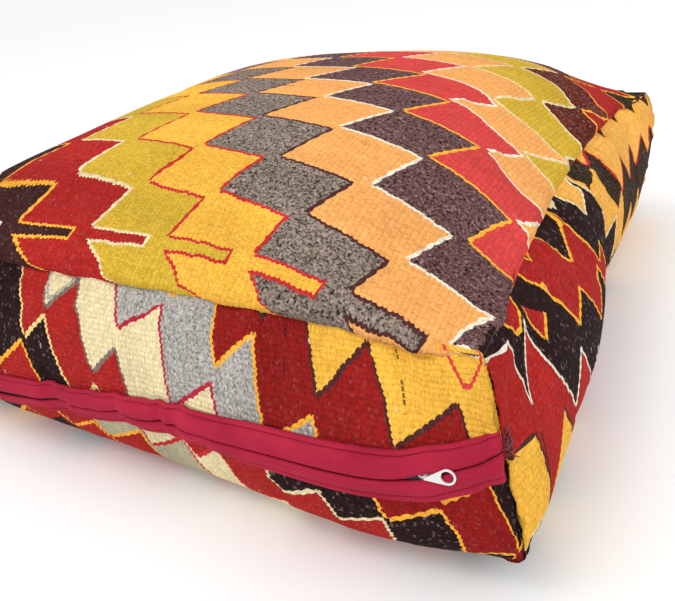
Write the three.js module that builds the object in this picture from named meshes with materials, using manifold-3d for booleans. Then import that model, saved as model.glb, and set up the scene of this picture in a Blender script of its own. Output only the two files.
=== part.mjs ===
// A square floor pouf: a filled cushion sewn from flat-woven kilim panels, with a zip
// between two twill flaps along its front wall. Millimetres, +Z up. It stands on its
// bottom panel at z = 0, over the origin, and the wall with the zip faces -Y.
import * as THREE from "three";
import { mergeVertices } from "three/addons/utils/BufferGeometryUtils.js";
import Module from "manifold-3d";

// The filled body. A reach is measured from the middle of the pouf to the middle of a wall.
const SEAM_HEIGHT = 148; // top seam above the floor
const CROWN = 80; // rise of the top panel above its seam
const SEAM_REACH = 255; // corners of the top seam
const SEAM_DRAWN = { x: 0.08, y: 0.045 }; // share by which its sides are drawn in between them
const BELLY_REACH = 286; // the widest girth of the walls
const BELLY_HEIGHT = 42;
const FOOT_REACH = 252; // where the walls meet the bottom panel
const HEART_HEIGHT = 72; // point in the filling where the shares of all panels meet
const SEWN_GAP = 0.3; // left between neighbouring panels

// Share by which the corners of the plan are rounded in, and how late along a wall they turn.
const SEAM_ROUND = 0.01;
const BELLY_ROUND = 0.05;
const FOOT_ROUND = 0.1;
const CORNER_TURN = 6;

// The crown's form: how flat it stays towards the middle, and how steep it leaves the seam.
const CROWN_FLAT = 2.8;
const CROWN_STEEP = 0.63;

// Height of the zip's mouth over the floor, along the front wall.
const ZIP_LINE = [
  { along: -275, up: 66 },
  { along: -215, up: 55 },
  { along: -147, up: 52 },
  { along: -30, up: 57 },
  { along: 109, up: 66 },
  { along: 199, up: 72 },
  { along: 251, up: 92 },
  { along: 275, up: 103 },
];

// The filling has settled unevenly: each row pushes the surface round a place, fading out
// over a width and a height. They are the hollow in the right wall, a swell low on the
// front wall, the far right corner pulled forward, the full left front corner, and a swell
// of the back wall.
const SETTLED = [
  { x: 275, y: 150, z: 40, wide: 140, tall: 75, push: [-23, 0, 0] },
  { x: 170, y: -285, z: 25, wide: 80, tall: 40, push: [0, -6, 0] },
  { x: 250, y: 250, z: 148, wide: 60, tall: 60, push: [8, -14, 0] },
  { x: -215, y: -215, z: 175, wide: 80, tall: 60, push: [0, 0, 15] },
  { x: 0, y: 285, z: 40, wide: 170, tall: 60, push: [0, 7, 0] },
];

// Sections of the zip's parts, up from the mouth and out from the wall.
const TAPE_HALF = 10;
const TAPE_OUT = { inner: 0.3, outer: 1.3 };
const COIL_HALF = 2.2;
const COIL_OUT = { inner: 1.6, outer: 3 };
const FLAP = [
  { up: 0, inner: 4.6, outer: 6.6 },
  { up: 1.5, inner: 4.6, outer: 7.4 },
  { up: 9, inner: 3.9, outer: 6.9 },
  { up: 14.5, inner: 2.2, outer: 5 },
  { up: 16.5, inner: 0.8, outer: 3.2 },
  { up: 18.5, inner: 0.3, outer: 2.6 },
];
const MOUTH_SHUT = 0.4; // half the opening between the flaps towards the closed end
const MOUTH_OPEN = 2; // half the opening towards the left
const ZIP_ENDS = { from: -0.965, to: 0.985 }; // share of the front wall's half width

// The slider runs on the teeth under the flaps. Its bridge stands up through the mouth and
// holds the drop-shaped pull, which lies on the lower flap.
const SLIDER = { along: 228, length: 9, width: 6, out: 3.3, thick: 1 };
const BRIDGE = { length: 4, width: 1.2, out: 7.6 };
const PULL = { length: 18, ring: 4.6, eye: 3.2, thick: 1.3, out: 7.9, droop: -0.1 };

// Half of the front wall's length, along its belly.
const FRONT_HALF = BELLY_REACH * (1 - BELLY_ROUND);

// How finely the surfaces are cut.
const ALONG_STEPS = 22;
const UP_STEPS = 12;
const ZIP_STEPS = 44;

const { lerp, clamp, smoothstep } = THREE.MathUtils;

// Soft surface of the filled body

function bell(distance, spread) {
  return Math.exp(-((distance / spread) ** 2));
}

// A point of the plan, for u and v from -1 to 1, with its corners rounded and its sides drawn in.
function planPoint(u, v, reach, round, drawn) {
  const x = reach * u * (1 - round * Math.abs(v) ** CORNER_TURN) * (1 - drawn.x * (1 - v * v));
  const y = reach * v * (1 - round * Math.abs(u) ** CORNER_TURN) * (1 - drawn.y * (1 - u * u));
  return new THREE.Vector2(x, y);
}

// The girth of the walls at a height: tucked in at the floor, full at the belly, drawn in at the seam.
function girthAt(height) {
  if (height < BELLY_HEIGHT) {
    const full = Math.sqrt(1 - (1 - height / BELLY_HEIGHT) ** 2);
    return {
      reach: lerp(FOOT_REACH, BELLY_REACH, full),
      round: lerp(FOOT_ROUND, BELLY_ROUND, full),
      drawn: { x: 0, y: 0 },
    };
  }
  const above = (height - BELLY_HEIGHT) / (SEAM_HEIGHT - BELLY_HEIGHT);
  const full = (1 - above ** 2.2) ** 0.8;
  return {
    reach: lerp(SEAM_REACH, BELLY_REACH, full),
    round: lerp(SEAM_ROUND, BELLY_ROUND, full),
    drawn: { x: SEAM_DRAWN.x * (1 - full), y: SEAM_DRAWN.y * (1 - full) },
  };
}

// The walls in turn round the plan, each running left to right as seen from outside.
const WALLS = {
  front: (s) => [s, -1],
  right: (s) => [1, s],
  back: (s) => [-s, 1],
  left: (s) => [-1, -s],
};

// A point of the filled surface, moved as the filling has settled.
function settled(point) {
  const from = point.clone();
  for (const soft of SETTLED) {
    const beside = bell(Math.hypot(from.x - soft.x, from.y - soft.y), soft.wide);
    const share = beside * bell(from.z - soft.z, soft.tall);
    point.addScaledVector(new THREE.Vector3(...soft.push), share);
  }
  return point;
}

// A point on a wall: s from -1 to 1 along it, at a height over the floor.
function wallPoint(wall, s, height) {
  const girth = girthAt(height);
  const [u, v] = WALLS[wall](s);
  const plan = planPoint(u, v, girth.reach, girth.round, girth.drawn);
  return settled(new THREE.Vector3(plan.x, plan.y, height));
}

// The same point lifted off the wall, along the wall's own normal.
function liftedPoint(wall, s, height, out) {
  const step = 0.5;
  const here = wallPoint(wall, s, height);
  const beside = wallPoint(wall, s + step / SEAM_REACH, height).sub(here);
  const above = wallPoint(wall, s, height + step).sub(here);
  return here.addScaledVector(beside.cross(above).normalize(), out);
}

function crownPoint(u, v) {
  const plan = planPoint(u, v, SEAM_REACH, SEAM_ROUND, SEAM_DRAWN);
  const inside = (1 - Math.abs(u) ** CROWN_FLAT) * (1 - Math.abs(v) ** CROWN_FLAT);
  const rise = CROWN * Math.max(inside, 0) ** CROWN_STEEP;
  return settled(new THREE.Vector3(plan.x, plan.y, SEAM_HEIGHT + rise));
}

// The zip's mouth, and the opening between its flaps, at s along the front wall

const zipCurve = new THREE.SplineCurve(ZIP_LINE.map((row) => new THREE.Vector2(row.along, row.up)));
const zipSamples = zipCurve.getPoints(200);

function mouthHeight(s) {
  const along = s * FRONT_HALF;
  const next = zipSamples.findIndex((point) => point.x >= along);
  const [a, b] = [zipSamples[Math.max(next - 1, 0)], zipSamples[Math.max(next, 1)]];
  return lerp(a.y, b.y, clamp((along - a.x) / (b.x - a.x), 0, 1));
}

function mouthHalf(s) {
  const parted = bell(s * FRONT_HALF - SLIDER.along, SLIDER.length);
  return lerp(MOUTH_OPEN, MOUTH_SHUT, smoothstep(s, -0.5, 0.4)) + parted;
}

// Closed solids

function solid(points, faces) {
  const geometry = new THREE.BufferGeometry().setFromPoints(points);
  geometry.setIndex(faces.flat());
  const flat = geometry.toNonIndexed();
  flat.computeVertexNormals();
  return flat;
}

// A grid of points over a patch, its faces seen from outside, and its rim in the same turn.
function gridPatch(columns, rows, pointAt) {
  const points = [];
  const faces = [];
  const id = (i, j) => j * (columns + 1) + i;
  for (let j = 0; j <= rows; j += 1) {
    for (let i = 0; i <= columns; i += 1) points.push(pointAt(i / columns, j / rows));
  }
  for (let j = 0; j < rows; j += 1) {
    for (let i = 0; i < columns; i += 1) {
      faces.push([id(i, j), id(i + 1, j), id(i + 1, j + 1)]);
      faces.push([id(i, j), id(i + 1, j + 1), id(i, j + 1)]);
    }
  }
  const rim = [];
  for (let i = 0; i < columns; i += 1) rim.push(id(i, 0));
  for (let j = 0; j < rows; j += 1) rim.push(id(columns, j));
  for (let i = columns; i > 0; i -= 1) rim.push(id(i, rows));
  for (let j = rows; j > 0; j -= 1) rim.push(id(0, j));
  return { points, faces, rim };
}

// A panel with its share of the filling: the patch that shows, closed to the heart of the
// pouf, which is moved a little towards the patch so that neighbouring shares stay apart.
function filledPanel({ points, faces, rim }, towards) {
  const heart = new THREE.Vector3(0, 0, HEART_HEIGHT).addScaledVector(towards, 2 * SEWN_GAP);
  const tip = points.length;
  const sides = rim.map((at, i) => [rim[(i + 1) % rim.length], at, tip]);
  return solid([...points, heart], [...faces, ...sides]);
}

// From 0 to 1, with the steps closer together at both ends, where the surface turns.
function eased(share) {
  return (1 - Math.cos(Math.PI * share)) / 2;
}

function easedBack(value) {
  return Math.acos(clamp(1 - 2 * value, -1, 1)) / Math.PI;
}

function topPanel() {
  const patch = gridPatch(ALONG_STEPS, ALONG_STEPS, (i, j) => {
    const point = crownPoint(2 * eased(i) - 1, 2 * eased(j) - 1);
    point.z += SEWN_GAP;
    return point;
  });
  return filledPanel(patch, new THREE.Vector3(0, 0, 1));
}

function bottomPanel() {
  const points = [];
  for (const wall of Object.keys(WALLS)) {
    for (let i = 0; i < ALONG_STEPS; i += 1) {
      points.push(wallPoint(wall, 2 * eased(i / ALONG_STEPS) - 1, 0));
    }
  }
  const flat = points.map((point) => new THREE.Vector2(point.x, point.y));
  const faces = THREE.ShapeUtils.triangulateShape(flat, []).map((face) => face.reverse());
  const rim = points.map((_, i) => i).reverse();
  return filledPanel({ points, faces, rim }, new THREE.Vector3(0, 0, -1));
}

// The stretch of a wall between two heights, each a function of s.
function wallPanel(wall, lowAt, highAt, rows) {
  const inset = (0.8 * SEWN_GAP) / SEAM_REACH;
  const patch = gridPatch(ALONG_STEPS, rows, (i, j) => {
    const s = (2 * eased(i) - 1) * (1 - inset);
    const low = easedBack(lowAt(s) / SEAM_HEIGHT);
    const high = easedBack(highAt(s) / SEAM_HEIGHT);
    return wallPoint(wall, s, SEAM_HEIGHT * eased(lerp(low, high, j)));
  });
  const [x, y] = WALLS[wall](0);
  const middle = (lowAt(0) + highAt(0)) / 2 - HEART_HEIGHT;
  const towards = new THREE.Vector3(x * SEAM_REACH, y * SEAM_REACH, middle).normalize();
  return filledPanel(patch, towards);
}

const footEdge = () => SEWN_GAP;
const seamEdge = () => SEAM_HEIGHT;

function sidePanel(wall) {
  return wallPanel(wall, footEdge, seamEdge, UP_STEPS);
}

function frontUpperStrip() {
  return wallPanel("front", (s) => mouthHeight(s) + SEWN_GAP / 2, seamEdge, UP_STEPS - 3);
}

function frontLowerStrip() {
  return wallPanel("front", footEdge, (s) => mouthHeight(s) - SEWN_GAP / 2, UP_STEPS / 2);
}

// A strip that follows the zip: a closed section, given as {up, out} from the mouth and the
// wall for each s, carried along the front wall and capped at both ends.
function alongZip(sectionAt, from = ZIP_ENDS.from, to = ZIP_ENDS.to, steps = ZIP_STEPS) {
  const points = [];
  const faces = [];
  const count = sectionAt(0).length;
  for (let i = 0; i <= steps; i += 1) {
    const s = lerp(from, to, i / steps);
    for (const { up, out } of sectionAt(s)) {
      points.push(liftedPoint("front", s, mouthHeight(s) + up, out));
    }
  }
  for (let i = 0; i < steps; i += 1) {
    for (let k = 0; k < count; k += 1) {
      const [a, b] = [i * count + k, i * count + ((k + 1) % count)];
      faces.push([a, a + count, b + count], [a, b + count, b]);
    }
  }
  for (let k = 1; k < count - 1; k += 1) {
    const last = steps * count;
    faces.push([0, k, k + 1], [last, last + k + 1, last + k]);
  }
  return solid(points, faces);
}

function stripSection(half, { inner, outer }) {
  return [
    { up: -half, out: inner },
    { up: -half, out: outer },
    { up: half, out: outer },
    { up: half, out: inner },
  ];
}

// A twill flap, folded double: sewn to its strip at the far edge, riding over the teeth at
// the mouth. It lies above the mouth for side = 1 and below it for side = -1.
function zipFlap(side) {
  return alongZip((s) => {
    const place = (row, out) => ({ up: side * (mouthHalf(s) + row.up), out });
    const outer = FLAP.map((row) => place(row, row.outer));
    const inner = FLAP.map((row) => place(row, row.inner)).reverse();
    const section = [...outer, ...inner];
    return side > 0 ? section : section.reverse();
  });
}

function zipTape() {
  return alongZip(() => stripSection(TAPE_HALF, TAPE_OUT));
}

function zipTeeth() {
  return alongZip(() => stripSection(COIL_HALF, COIL_OUT));
}

// Puts a flat hard piece on the front wall: its own X along the zip, its Z out of the wall.
function seatOnZip(mesh, out, turn) {
  const s = SLIDER.along / FRONT_HALF;
  const here = liftedPoint("front", s, mouthHeight(s), out);
  const beside = liftedPoint("front", s + 0.02, mouthHeight(s + 0.02), out);
  const zAxis = liftedPoint("front", s, mouthHeight(s), out + 1).sub(here);
  const xAxis = beside.sub(here).projectOnPlane(zAxis).normalize();
  xAxis.applyAxisAngle(zAxis, turn);
  const basis = new THREE.Matrix4().makeBasis(xAxis, zAxis.clone().cross(xAxis), zAxis);
  mesh.quaternion.setFromRotationMatrix(basis);
  mesh.position.copy(here);
}

// Two overlapping geometries as one closed solid.
const wasm = await Module();
wasm.setup();

function joined(first, second) {
  const [a, b] = [first, second].map((geometry) => {
    const bare = geometry.clone().deleteAttribute("normal").deleteAttribute("uv");
    const { index, attributes } = mergeVertices(bare);
    return new wasm.Manifold(
      new wasm.Mesh({
        numProp: 3,
        vertProperties: attributes.position.array,
        triVerts: new Uint32Array(index.array),
      }),
    );
  });
  const { vertProperties, triVerts } = a.add(b).getMesh();
  const geometry = new THREE.BufferGeometry();
  geometry.setAttribute("position", new THREE.BufferAttribute(vertProperties, 3));
  geometry.setIndex(new THREE.BufferAttribute(triVerts, 1));
  geometry.computeVertexNormals();
  return geometry;
}

// The slider: an oval plate with its bridge standing on it, its back at z = 0.
function sliderShape() {
  const oval = new THREE.Shape();
  oval.absellipse(0, 0, SLIDER.length / 2, SLIDER.width / 2, 0, 2 * Math.PI);
  const plate = new THREE.ExtrudeGeometry(oval, {
    depth: SLIDER.thick,
    bevelEnabled: false,
    curveSegments: 10,
  });
  const rise = BRIDGE.out - SLIDER.out - SLIDER.thick / 2;
  const bridge = new THREE.BoxGeometry(BRIDGE.length, BRIDGE.width, rise);
  bridge.translate(0, 0, SLIDER.thick / 2 + rise / 2);
  return joined(plate, bridge);
}

// The pull: a drop of sheet metal with an eye in its round end, its point at the origin.
function pullShape() {
  const centre = PULL.length - PULL.ring;
  const lean = Math.acos(PULL.ring / centre);
  const blunt = 0.4;
  const shape = new THREE.Shape();
  shape.moveTo(0, -blunt);
  shape.absarc(centre, 0, PULL.ring, -Math.PI + lean, Math.PI - lean, false);
  shape.lineTo(0, blunt);
  shape.closePath();
  const eye = new THREE.Path();
  eye.absarc(centre, 0, PULL.eye, 0, 2 * Math.PI, true);
  shape.holes.push(eye);
  return new THREE.ExtrudeGeometry(shape, {
    depth: PULL.thick,
    bevelEnabled: false,
    curveSegments: 24,
  });
}

// The parts, each with the colour and finish of its cloth or metal

const KILIM_RED = 0xa8241c;
const KILIM_YELLOW = 0xd99a1c;
const KILIM_BROWN = 0x38241f;
const TWILL_CRIMSON = 0xa01535;
const ZIP_GREY = 0x4a4350;
const METAL = 0xd8d8d8;

const pouf = new THREE.Group();

function cloth(color) {
  return new THREE.MeshStandardMaterial({ color, roughness: 0.9, metalness: 0 });
}

function enamel(color) {
  return new THREE.MeshStandardMaterial({ color, roughness: 0.35, metalness: 0.4 });
}

function add(name, geometry, material) {
  const mesh = new THREE.Mesh(geometry, material);
  mesh.name = name;
  pouf.add(mesh);
  return mesh;
}

add("top_panel", topPanel(), cloth(KILIM_YELLOW));
add("front_upper_strip", frontUpperStrip(), cloth(KILIM_RED));
add("front_lower_strip", frontLowerStrip(), cloth(KILIM_RED));
add("right_side_panel", sidePanel("right"), cloth(KILIM_BROWN));
add("back_side_panel", sidePanel("back"), cloth(KILIM_BROWN));
add("left_side_panel", sidePanel("left"), cloth(KILIM_BROWN));
add("bottom_panel", bottomPanel(), cloth(KILIM_BROWN));
add("zip_tape", zipTape(), cloth(ZIP_GREY));
add("zip_teeth", zipTeeth(), cloth(ZIP_GREY));
add("zip_flap_upper", zipFlap(1), cloth(TWILL_CRIMSON));
add("zip_flap_lower", zipFlap(-1), cloth(TWILL_CRIMSON));
seatOnZip(add("zip_slider", sliderShape(), enamel(METAL)), SLIDER.out, 0);
seatOnZip(add("zip_pull", pullShape(), enamel(METAL)), PULL.out, PULL.droop);

export default pouf;
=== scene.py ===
# A square floor pouf sewn from panels cut out of an old flat-woven kilim. It is stuffed full,
# crowned on top and drawn in at its top seam, and a zip runs along the front wall between
# two crimson twill flaps. Metres, +Z up; it stands on the floor over the origin.
import math

import bmesh
import bpy
import numpy as np
from mathutils import Matrix, Vector


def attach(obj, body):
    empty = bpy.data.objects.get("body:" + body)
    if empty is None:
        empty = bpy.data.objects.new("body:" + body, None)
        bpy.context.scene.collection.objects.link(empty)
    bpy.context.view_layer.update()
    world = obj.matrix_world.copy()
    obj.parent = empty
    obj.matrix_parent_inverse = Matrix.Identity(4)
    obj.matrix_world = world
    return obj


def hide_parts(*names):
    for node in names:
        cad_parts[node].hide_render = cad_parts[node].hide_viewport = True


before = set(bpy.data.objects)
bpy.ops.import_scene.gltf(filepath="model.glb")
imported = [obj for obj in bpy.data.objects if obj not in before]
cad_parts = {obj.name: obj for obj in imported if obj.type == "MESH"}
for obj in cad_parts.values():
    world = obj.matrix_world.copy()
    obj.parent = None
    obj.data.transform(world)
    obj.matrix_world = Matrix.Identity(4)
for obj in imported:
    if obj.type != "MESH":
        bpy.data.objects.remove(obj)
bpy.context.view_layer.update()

# The camera. It looks down past the near right corner, at the front wall and the right wall,
# and is turned a little about its own line of sight. The picture is 675 by 601 pixels.
CAMERA_AT = (0.34735, -0.51847, 0.34648)
CAMERA_YAW = 0.585
CAMERA_PITCH = 0.515
CAMERA_ROLL = -0.155
PICTURE_WIDE = 675
FOCAL_PIXELS = 673.24
SENSOR_WIDE = 36

camera_data = bpy.data.cameras.new("camera")
camera_data.sensor_width = SENSOR_WIDE
camera_data.lens = FOCAL_PIXELS / PICTURE_WIDE * SENSOR_WIDE
camera_data.clip_start = 0.01
camera = bpy.data.objects.new("camera", camera_data)
bpy.context.scene.collection.objects.link(camera)
turned = (
    Matrix.Rotation(CAMERA_YAW, 4, "Z")
    @ Matrix.Rotation(math.pi / 2 - CAMERA_PITCH, 4, "X")
    @ Matrix.Rotation(CAMERA_ROLL, 4, "Z")
)
camera.matrix_world = Matrix.Translation(CAMERA_AT) @ turned
bpy.context.scene.camera = camera
bpy.context.scene.view_settings.view_transform = "Standard"

# The studio: a wide pale floor, an even pale sky, one large soft lamp high on the left and a
# weaker one on the right.
FLOOR_HALF = 14
FLOOR_COLOUR = (0.93, 0.93, 0.93, 1)
FLOOR_ROUGH = 0.9
SKY_COLOUR = (1, 1, 1, 1)
SKY_LIGHT = 1.0
LAMPS = [
    {"name": "key_light", "at": (-0.7, -0.9, 2.2), "size": 1.2, "watts": 15},
    {"name": "fill_light", "at": (1.9, -0.4, 1.3), "size": 1.4, "watts": 5},
]


def new_finish(name, everywhere):
    """A material and its shader, with what is the same all over the surface set on it."""
    finish = bpy.data.materials.new(name)
    finish.use_nodes = True
    shader = finish.node_tree.nodes["Principled BSDF"]
    for socket, value in everywhere.items():
        shader.inputs[socket].default_value = value
    return finish, shader


studio_floor = bmesh.new()
bmesh.ops.create_grid(studio_floor, x_segments=1, y_segments=1, size=FLOOR_HALF)
floor_mesh = bpy.data.meshes.new("floor")
studio_floor.to_mesh(floor_mesh)
studio_floor.free()
floor = bpy.data.objects.new("floor", floor_mesh)
bpy.context.scene.collection.objects.link(floor)
floor_paint, _ = new_finish("floor_paint", {"Base Color": FLOOR_COLOUR, "Roughness": FLOOR_ROUGH})
floor_mesh.materials.append(floor_paint)

sky = bpy.data.worlds.new("sky")
sky.use_nodes = True
sky_inputs = sky.node_tree.nodes["Background"].inputs
sky_inputs["Color"].default_value = SKY_COLOUR
sky_inputs["Strength"].default_value = SKY_LIGHT
bpy.context.scene.world = sky
for lamp in LAMPS:
    light_data = bpy.data.lights.new(lamp["name"], "AREA")
    light_data.size = lamp["size"]
    light_data.energy = lamp["watts"]
    light = bpy.data.objects.new(lamp["name"], light_data)
    aim = (-Vector(lamp["at"])).to_track_quat("-Z", "Y").to_matrix().to_4x4()
    light.matrix_world = Matrix.Translation(lamp["at"]) @ aim
    bpy.context.scene.collection.objects.link(light)

# The stuffed body. Every panel is a part of one closed cover, which is described on a cube
# from -1 to 1: its top becomes the crown, its sides the walls and its bottom the flat base.
SEAM_HEIGHT = 0.148
CROWN = 0.0757
SEAM_REACH = 0.255
SEAM_DRAWN = (0.08, 0.045)
BELLY_REACH = 0.286
BELLY_HEIGHT = 0.042
FOOT_REACH = 0.252
SEAM_ROUND = 0.01
BELLY_ROUND = 0.05
FOOT_ROUND = 0.1
CORNER_TURN = 6  # powers that shape the plan's corners, the crown and the walls' profile
CROWN_FLAT = 2.8
CROWN_STEEP = 0.63
FOOT_FULL = 2
WALL_BEND = 2.2
WALL_DRAW = 0.8
CLOTH_STEPS = 88  # grid of the cover that is stuffed, along a side
WALL_STEPS = 28  # and up a wall
RUN_STEPS = 400  # points at which lengths of cloth are measured
ON = 1 - 1e-6  # past this a point of the cube is on a side
SETTLED = [
    {"at": (0.275, 0.150, 0.040), "wide": 0.140, "tall": 0.075, "push": (-0.023, 0, 0)},
    {"at": (0.170, -0.285, 0.025), "wide": 0.080, "tall": 0.040, "push": (0, -0.006, 0)},
    {"at": (0.250, 0.250, 0.148), "wide": 0.060, "tall": 0.060, "push": (0.008, -0.014, 0)},
    {"at": (-0.215, -0.215, 0.175), "wide": 0.080, "tall": 0.060, "push": (0, 0, 0.015)},
    {"at": (0.262, -0.262, 0.036), "wide": 0.055, "tall": 0.034, "push": (0.0090, -0.002, 0)},
    {"at": (0, 0.285, 0.040), "wide": 0.170, "tall": 0.060, "push": (0, 0.007, 0)},
    {"at": (0.275, 0.010, 0.045), "wide": 0.080, "tall": 0.065, "push": (-0.012, 0, 0)},
    {"at": (0.280, -0.140, 0.050), "wide": 0.080, "tall": 0.060, "push": (-0.0045, 0, 0)},
]


def bell(distance):
    return np.exp(-(distance**2))


def mixed(low, high, share):
    return low + (high - low) * share


def plan(u, v, reach, rounding, drawn_x, drawn_y):
    """A point of a level section: a square with rounded corners and sides drawn in."""
    x = reach * u * (1 - rounding * np.abs(v) ** CORNER_TURN) * (1 - drawn_x * (1 - v * v))
    y = reach * v * (1 - rounding * np.abs(u) ** CORNER_TURN) * (1 - drawn_y * (1 - u * u))
    return x, y


def settled(points):
    """The filling has settled unevenly, which pushes the cover in some places."""
    moved = points.copy()
    for soft in SETTLED:
        away = points - np.array(soft["at"])
        beside = bell(np.hypot(away[:, 0], away[:, 1]) / soft["wide"])
        share = beside * bell(away[:, 2] / soft["tall"])
        moved += share[:, None] * np.array(soft["push"])
    return moved


def wall_form(u, v, height):
    """Points of the walls before they are stuffed: foot, belly and the waist under the seam."""
    low = np.clip(height / BELLY_HEIGHT, 0, 1)
    below = np.sqrt(np.clip(1 - (1 - low) ** FOOT_FULL, 0, 1))
    above = np.clip((height - BELLY_HEIGHT) / (SEAM_HEIGHT - BELLY_HEIGHT), 0, 1)
    full = np.clip(1 - above**WALL_BEND, 0, 1) ** WALL_DRAW
    under = height < BELLY_HEIGHT

    def from_belly(foot, belly, seam):
        return np.where(under, mixed(foot, belly, below), mixed(seam, belly, full))

    reach = from_belly(FOOT_REACH, BELLY_REACH, SEAM_REACH)
    rounding = from_belly(FOOT_ROUND, BELLY_ROUND, SEAM_ROUND)
    drawn = np.where(under, 0, 1 - full)
    x, y = plan(u, v, reach, rounding, SEAM_DRAWN[0] * drawn, SEAM_DRAWN[1] * drawn)
    return settled(np.stack([x, y, height], axis=1))


def crown_form(u, v):
    """Points of the crown before it is stuffed."""
    x, y = plan(u, v, SEAM_REACH, SEAM_ROUND, *SEAM_DRAWN)
    inside = (1 - np.abs(u) ** CROWN_FLAT) * (1 - np.abs(v) ** CROWN_FLAT)
    rise = CROWN * np.clip(inside, 0, 1) ** CROWN_STEEP
    return settled(np.stack([x, y, SEAM_HEIGHT + rise], axis=1))


def run_along(points):
    """The distance along a row of points, from its first one."""
    steps = np.linalg.norm(np.diff(points, axis=0), axis=1)
    return np.concatenate([[0], np.cumsum(steps)])


# Measured along the cloth: from the middle of the crown to its seam, and up a wall.
shares = 1 - np.linspace(1, 0, RUN_STEPS) ** 3
crown_run = run_along(crown_form(shares, 0 * shares))
CROWN_HALF = crown_run[-1]
heights = SEAM_HEIGHT * (1 - np.cos(np.linspace(0, math.pi, RUN_STEPS))) / 2
wall_run = run_along(wall_form(0 * heights, 0 * heights - 1, heights))
WALL_TALL = wall_run[-1]


def even(share):
    """Spreads -1 to 1 so that equal steps are equal lengths of cloth over the crown."""
    return np.sign(share) * np.interp(np.abs(share) * CROWN_HALF, crown_run, shares)


def height_at(share):
    """The height over the floor at a share, -1 to 1, of the cloth up a wall."""
    return np.interp((share + 1) / 2 * WALL_TALL, wall_run, heights)


def cover_form(x, y, z):
    """The cover before it is stuffed, for points of the cube."""
    u, v = even(x), even(y)
    top, base = z > ON, z < -ON
    form = wall_form(u, v, height_at(z))
    form[top] = crown_form(u[top], v[top])
    flat_x, flat_y = plan(u[base], v[base], FOOT_REACH, FOOT_ROUND, 0, 0)
    form[base] = settled(np.stack([flat_x, flat_y, 0 * flat_x], axis=1))
    return form


# The stuffing. The closed cover, a little small, is blown up as cloth with its seams and
# its base held, which makes it swell between the seams and pucker beside them. How far each
# point moved is kept, and every panel below is laid over it.
STUFFING = {
    "quality": 6,
    "mass": 0.4,
    "air_damping": 2,
    "tension_stiffness": 20,
    "compression_stiffness": 20,
    "bending_stiffness": 0.6,
    "use_pressure": True,
    "uniform_pressure_force": 4,
    "shrink_min": -0.035,  # the cloth is larger than the form that it is sewn to
    "shrink_max": -0.035,
}
STUFFING_FRAMES = 20
TUCKED = 0.004
SWELL_CAP = 0.0045


def cover_cube():
    cube = bmesh.new()
    bmesh.ops.create_cube(cube, size=2)
    uprights = [e for e in cube.edges if abs(e.verts[0].co.z - e.verts[1].co.z) > 1]
    bmesh.ops.subdivide_edges(cube, edges=uprights, cuts=WALL_STEPS - 1)
    level = [e for e in cube.edges if abs(e.verts[0].co.z - e.verts[1].co.z) < 1 - ON]
    bmesh.ops.subdivide_edges(cube, edges=level, cuts=CLOTH_STEPS - 1, use_grid_fill=True)
    cube.verts.ensure_lookup_table()
    return cube


def stuffed(seats):
    """Where the cover's points lie once it is stuffed, found by a cloth simulation."""
    cube = cover_cube()
    start = cover_form(*seats.T)
    for vert, place in zip(cube.verts, start):
        vert.co = place
    cube.normal_update()
    normals = np.array([v.normal for v in cube.verts])
    held = (np.abs(seats) > ON).sum(axis=1) > 1
    held |= seats[:, 2] < -ON
    small = start - normals * np.where(held, 0, TUCKED)[:, None]
    for vert, place in zip(cube.verts, small):
        vert.co = place
    mesh = bpy.data.meshes.new("cover")
    cube.to_mesh(mesh)
    cube.free()
    cover = bpy.data.objects.new("cover", mesh)
    bpy.context.scene.collection.objects.link(cover)
    sewn = cover.vertex_groups.new(name="sewn")
    sewn.add([int(i) for i in np.flatnonzero(held)], 1.0, "REPLACE")
    cloth = cover.modifiers.new("cloth", "CLOTH")
    for setting, value in STUFFING.items():
        setattr(cloth.settings, setting, value)
    cloth.settings.effector_weights.gravity = 0
    cloth.settings.vertex_group_mass = "sewn"
    cloth.collision_settings.use_collision = False
    cloth.point_cache.frame_start = 1
    cloth.point_cache.frame_end = STUFFING_FRAMES
    for step in range(1, STUFFING_FRAMES + 1):
        bpy.context.scene.frame_set(step)
    blown = cover.evaluated_get(bpy.context.evaluated_depsgraph_get())
    ends = np.empty(len(mesh.vertices) * 3)
    blown.data.vertices.foreach_get("co", ends)
    bpy.context.scene.frame_set(1)
    bpy.data.objects.remove(cover)
    move = ends.reshape(-1, 3) - start
    far = np.linalg.norm(move, axis=1, keepdims=True) + 1e-9
    return move * SWELL_CAP * np.tanh(far / SWELL_CAP) / far


cube = cover_cube()
cube_seats = np.array([v.co for v in cube.verts])
cube.free()
swell = stuffed(cube_seats)
column_of = np.rint((cube_seats + 1) / 2 * CLOTH_STEPS).astype(int)
level_of = np.rint((cube_seats[:, 2] + 1) / 2 * WALL_STEPS).astype(int)
CUBE_SIDES = {"top": (2, 1), "front": (1, -1), "back": (1, 1), "right": (0, 1), "left": (0, -1)}
SWELLS = {}
for name, (axis, way) in CUBE_SIDES.items():
    side = cube_seats[:, axis] * way > ON
    first = column_of[side, 1 if axis == 0 else 0]
    second = column_of[side, 1] if axis == 2 else level_of[side]
    SWELLS[name] = np.zeros((first.max() + 1, second.max() + 1, 3))
    SWELLS[name][first, second] = swell[side]


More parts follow.
